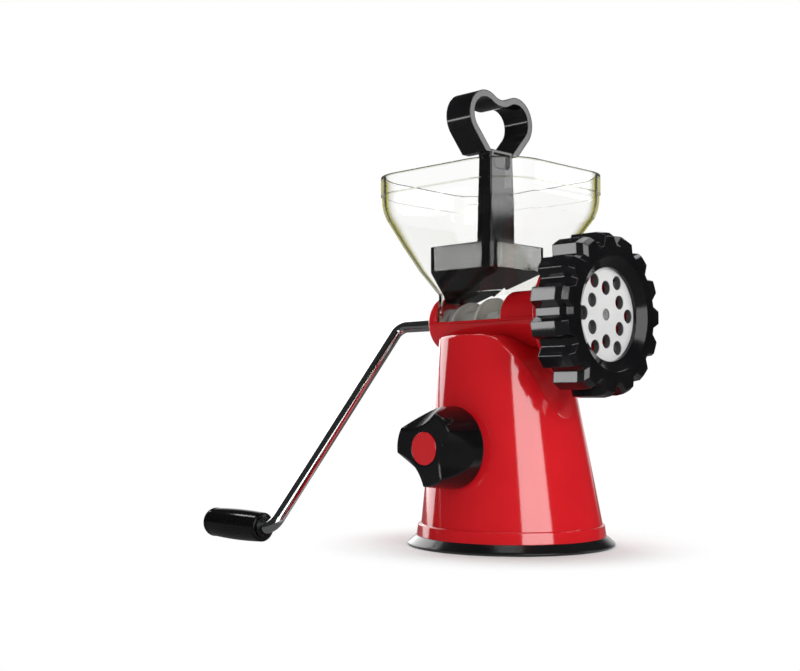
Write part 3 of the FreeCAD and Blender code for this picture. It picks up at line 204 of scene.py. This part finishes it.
# Finish of each slot.
FINISHES = {
    "red_plastic": surface(
        "red_plastic", colours=((0.58, 0.009, 0.014), (0.63, 0.011, 0.017)),
        roughness=(0.07, 0.11), grain=900.0, bump=0.00001, edge=0.0006, Specular_IOR_Level=1.0,
    ),
    "black_plastic": surface(
        "black_plastic", colours=BLACK, roughness=(0.08, 0.14), grain=1100.0, bump=0.00001,
        edge=0.0008, Specular_IOR_Level=BLACK_SPECULAR,
    ),
    "foot_rubber": surface(
        "foot_rubber", colours=((0.005, 0.005, 0.0055), (0.010, 0.010, 0.011)),
        roughness=(0.13, 0.20), grain=1800.0, bump=0.00002, edge=0.0006,
    ),
    "chrome": surface(
        "chrome", colours=((0.50, 0.51, 0.52), (0.57, 0.58, 0.59)),
        roughness=(0.06, 0.11), grain=240.0, bump=0.000002, edge=0.0004, Metallic=1.0,
    ),
    "plate_steel": surface(
        "plate_steel", colours=((0.82, 0.82, 0.82), (0.90, 0.90, 0.89)),
        roughness=(0.32, 0.40), grain=260.0, bump=0.00001, edge=0.0003, stretch=(1, 9, 1),
        Metallic=0.35,
    ),
    "inner_steel": surface(
        "inner_steel", colours=((0.26, 0.26, 0.26), (0.33, 0.33, 0.33)),
        roughness=(0.28, 0.42), grain=700.0, bump=0.00002, edge=0.0003, Metallic=1.0,
    ),
    "pale_plastic": surface(
        "pale_plastic", colours=((0.55, 0.55, 0.53), (0.62, 0.62, 0.59)),
        roughness=(0.30, 0.42), grain=800.0, bump=0.00002,
    ),
    "bearing_plastic": surface(
        "bearing_plastic", colours=((0.52, 0.51, 0.47), (0.60, 0.59, 0.54)),
        roughness=(0.34, 0.46), grain=800.0, bump=0.00002,
    ),
    "clear_plastic": surface(
        "clear_plastic", colours=((0.99, 0.99, 0.985), (1.0, 1.0, 0.995)),
        roughness=(0.01, 0.02), grain=300.0, bump=0.000003, edge=0.0004,
        Transmission_Weight=1.0, IOR=1.2,
    ),
}

# Finish of the nodes that differ from their slot: rounder edges, and darker steel.
OWN_FINISHES = {
    "knob": surface(
        "knob_plastic", colours=BLACK, roughness=(0.08, 0.14), grain=1100.0, bump=0.00001,
        edge=0.0022, Specular_IOR_Level=BLACK_SPECULAR,
    ),
    "grip_washer": surface(
        "dark_steel", colours=((0.03, 0.03, 0.03), (0.05, 0.05, 0.05)),
        roughness=(0.28, 0.42), grain=700.0, bump=0.00002, edge=0.0003, Metallic=1.0,
    ),
}


def mix_base(material, share, colour):
    """Takes a material's colour over to another one by a share."""
    tree = material.node_tree
    base = tree.nodes["Principled BSDF"].inputs["Base Color"]
    colours = add(tree, "Mix", {"data_type": "RGBA"})
    link(tree, share, colours, MIX_SHARE)
    link(tree, base.links[0].from_socket, colours, MIX_FIRST)
    colours.inputs[MIX_SECOND].default_value = (*colour, 1)
    tree.links.new(colours.outputs[MIX_RESULT], base)


def tint_edges(material, colour):
    """Colour that a clear wall shows where it turns away from the eye."""
    tree = material.node_tree
    turned = add(tree, "LayerWeight", Blend=EDGE_BLEND).outputs["Facing"]
    mix_base(material, ranged(tree, turned, EDGE_TURN), colour)


def tint_height(material, height, reach, colour):
    """Colour in a thin line round a clear wall at one height, left out where a wall is in front."""
    tree = material.node_tree
    place = place_along(tree, "Z")
    core = LINE_CORE * reach
    below = ranged(tree, place, (height - reach, height - core))
    above = ranged(tree, place, (height + reach, height + core))
    line = combined(tree, "MINIMUM", below, above)
    passed = add(tree, "LightPath").outputs["Transmission Depth"]
    share = combined(tree, "MULTIPLY", line, ranged(tree, passed, (FAR_WALL, NEAR_WALL)))
    mix_base(material, share, colour)


def colour_along(material, places, colour):
    """Colour that takes over from one place along X to another."""
    tree = material.node_tree
    mix_base(material, ranged(tree, place_along(tree, "X"), places), colour)


def dress():
    """Gives every CAD node the finish of its slot, or its own."""
    clear = FINISHES["clear_plastic"]
    rim = max(corner[2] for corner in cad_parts["hopper"].bound_box)
    tint_edges(clear, EDGE_TINT)
    tint_height(clear, rim, RIM_REACH, RIM_TINT)
    tint_height(clear, rim - HOPPER_BAND, BAND_REACH, BAND_TINT)
    # Painted shade: the inside of the plate's holes and the auger's end behind the plate turn dark
    # grey.
    colour_along(FINISHES["plate_steel"], PLATE_INSIDE, PLATE_PAINTED_SHADE)
    colour_along(FINISHES["pale_plastic"], AUGER_END, AUGER_PAINTED_SHADE)
    for name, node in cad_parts.items():
        for slot in node.material_slots:
            finish = slot.material.name.split(".")[0]
            slot.material = OWN_FINISHES.get(name, FINISHES[finish])


def twin(node, name):
    """Piece with a copy of a node's own mesh that stands for it, while the node is hidden."""
    piece = bpy.data.objects.new(name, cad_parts[node].data.copy())
    bpy.context.scene.collection.objects.link(piece)
    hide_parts(node)
    return piece


def suction():
    """Rubber foot and return spring as pieces of their own with copied meshes, the spring attached
    to the base.
    """
    foot = twin("suction_cup", "rubber_foot")
    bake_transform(foot)
    spring = twin("stem_spring", "return_spring")
    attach(spring, "base")
    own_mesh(spring)


def floor():
    """Pale floor that keeps the shadow near the object and is plain white farther out."""
    bpy.ops.mesh.primitive_plane_add(size=FLOOR_SIZE)
    plane = bpy.context.object
    plane.name = "floor"
    material = bpy.data.materials.new("floor")
    material.use_nodes = True
    tree = material.node_tree
    tree.nodes.remove(tree.nodes["Principled BSDF"])
    pale = add(tree, "BsdfDiffuse", Color=FLOOR_COLOUR).outputs["BSDF"]
    away = add(tree, "VectorMath", {"operation": "LENGTH"}, Vector=own_place(tree))
    share = ranged(tree, away.outputs["Value"], SHADOW_REACH, WHITE_SHARE, "SMOOTHSTEP")
    path = add(tree, "LightPath").outputs
    strength = chosen(tree, path["Glossy Depth"], WHITE_STRENGTH, WHITE_MIRRORED)
    glow = add(tree, "Emission", Strength=strength).outputs["Emission"]
    seen = combined(tree, "MAXIMUM", path["Is Camera Ray"], path["Is Glossy Ray"])
    seen = combined(tree, "MAXIMUM", seen, path["Is Transmission Ray"])
    mix = add(tree, "MixShader")
    link(tree, combined(tree, "MULTIPLY", share, seen), mix, 0)
    link(tree, pale, mix, 1)
    link(tree, glow, mix, 2)
    link(tree, mix.outputs[0], tree.nodes["Material Output"], 0)
    plane.data.materials.append(material)


def surroundings():
    """White backdrop behind the object, and a dim studio that gloss and clear plastic show."""
    world = bpy.data.worlds.new("studio")
    bpy.context.scene.world = world
    world.use_nodes = True
    tree = world.node_tree
    around = math.radians(CAMERA_AZIMUTH)
    way = add(tree, "TexCoord").outputs["Generated"]
    facing = add(tree, "VectorMath", {"operation": "DOT_PRODUCT"}, Vector=way)
    facing.inputs[1].default_value = (-math.sin(around), math.cos(around), 0)
    behind = facing.outputs["Value"]
    path = add(tree, "LightPath").outputs
    ambient = ranged(tree, behind, AMBIENT_PLACES, AMBIENT, "SMOOTHSTEP")
    mirrored = ranged(tree, behind, MIRRORED_PLACES, MIRRORED, "SMOOTHSTEP")
    through = ranged(tree, behind, THROUGH_PLACES, THROUGH, "SMOOTHSTEP")
    gloss = combined(tree, "MULTIPLY", path["Is Glossy Ray"], path["Glossy Depth"])
    strength = chosen(tree, path["Is Transmission Ray"], ambient, through)
    strength = chosen(tree, gloss, strength, mirrored)
    strength = chosen(tree, path["Is Camera Ray"], strength, BACKDROP)
    sky = tree.nodes["Background"]
    sky.inputs["Color"].default_value = (1, 1, 1, 1)
    tree.links.new(strength, sky.inputs["Strength"])


def softbox(name, turn, rise, distance, size, power, middle=OBJECT_MIDDLE, only=(), without=()):
    """Area lamp that faces a place, at a turn from the camera's azimuth, for all nodes or some."""
    data = bpy.data.lights.new(name, "AREA")
    data.shape = "RECTANGLE"
    data.size, data.size_y = size
    data.energy = power
    lamp = bpy.data.objects.new(name, data)
    around, up = math.radians(CAMERA_AZIMUTH + turn), math.radians(rise)
    level = math.cos(up)
    way = Vector((math.sin(around) * level, -math.cos(around) * level, math.sin(up)))
    lamp.location = Vector(middle) + way * distance
    lamp.rotation_euler = way.to_track_quat("Z", "Y").to_euler()
    lamp.visible_camera = False
    bpy.context.scene.collection.objects.link(lamp)
    if only or without:
        lit = bpy.data.collections.new(name)
        lamp.light_linking.receiver_collection = lit
        for node in [*only, *without]:
            lit.objects.link(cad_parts[node])
        for entry in lit.collection_objects:
            entry.light_linking.link_state = "INCLUDE" if only else "EXCLUDE"


def lights():
    """Bank above, boxes behind on the left and in front on the right, and cards for some pieces."""
    softbox(
        "overhead", turn=180.0, rise=70.0, distance=1.5, size=(1.2, 1.0), power=10.0,
        without=["crank_grip", "pusher"],
    )
    softbox(
        "left_strip", turn=-139.0, rise=14.0, distance=1.2, size=(1.05, 1.2), power=11.0,
        without=["hopper", "knob", "crank_grip"],
    )
    softbox(
        "right_box", turn=32.0, rise=14.0, distance=1.4, size=(0.95, 1.2), power=14.0,
        without=["knob"],
    )
    softbox("high_right", turn=99.6, rise=24.5, distance=0.66, size=(0.11, 0.165), power=0.32)
    softbox(
        "edge_card", turn=-16.0, rise=12.0, distance=0.9, size=(0.55, 0.60), power=7.5,
        only=["knob", "ring_nut", "pusher"],
    )
    softbox(
        "grip_card", turn=-122.0, rise=47.0, distance=0.5, size=(0.05, 0.14), power=0.14,
        middle=(-0.130, -0.112, 0.011), only=["crank_grip"],
    )
    softbox(
        "nut_card", turn=-79.0, rise=7.0, distance=0.35, size=(0.12, 0.30), power=1.1,
        middle=(0.067, -0.047, 0.140), only=["ring_nut"],
    )
    softbox(
        "pusher_card_left", turn=-81.0, rise=6.8, distance=0.39, size=(0.11, 0.03), power=0.10,
        middle=(-0.020, -0.031, 0.179), only=["pusher", "hopper"],
    )
    softbox(
        "pusher_card_right", turn=100.8, rise=7.0, distance=0.40, size=(0.11, 0.03), power=0.10,
        middle=(0.008, 0.0, 0.179), only=["pusher", "hopper"],
    )


def camera():
    """Camera at the photograph's place and angle."""
    data = bpy.data.cameras.new("camera")
    data.lens = CAMERA_LENS
    data.sensor_width = CAMERA_SENSOR
    eye = bpy.data.objects.new("camera", data)
    around = math.radians(CAMERA_AZIMUTH)
    eye.location = (
        CAMERA_DISTANCE * math.sin(around),
        -CAMERA_DISTANCE * math.cos(around),
        CAMERA_HEIGHT,
    )
    turned = math.radians(CAMERA_AZIMUTH + CAMERA_YAW)
    up = math.radians(CAMERA_PITCH)
    level = math.cos(up)
    ahead = Vector((-math.sin(turned) * level, math.cos(turned) * level, math.sin(up)))
    eye.rotation_euler = ahead.to_track_quat("-Z", "Y").to_euler()
    bpy.context.scene.collection.objects.link(eye)
    bpy.context.scene.camera = eye


dress()
suction()
floor()
surroundings()
lights()
camera()
bpy.context.scene.view_settings.view_transform = "Standard"
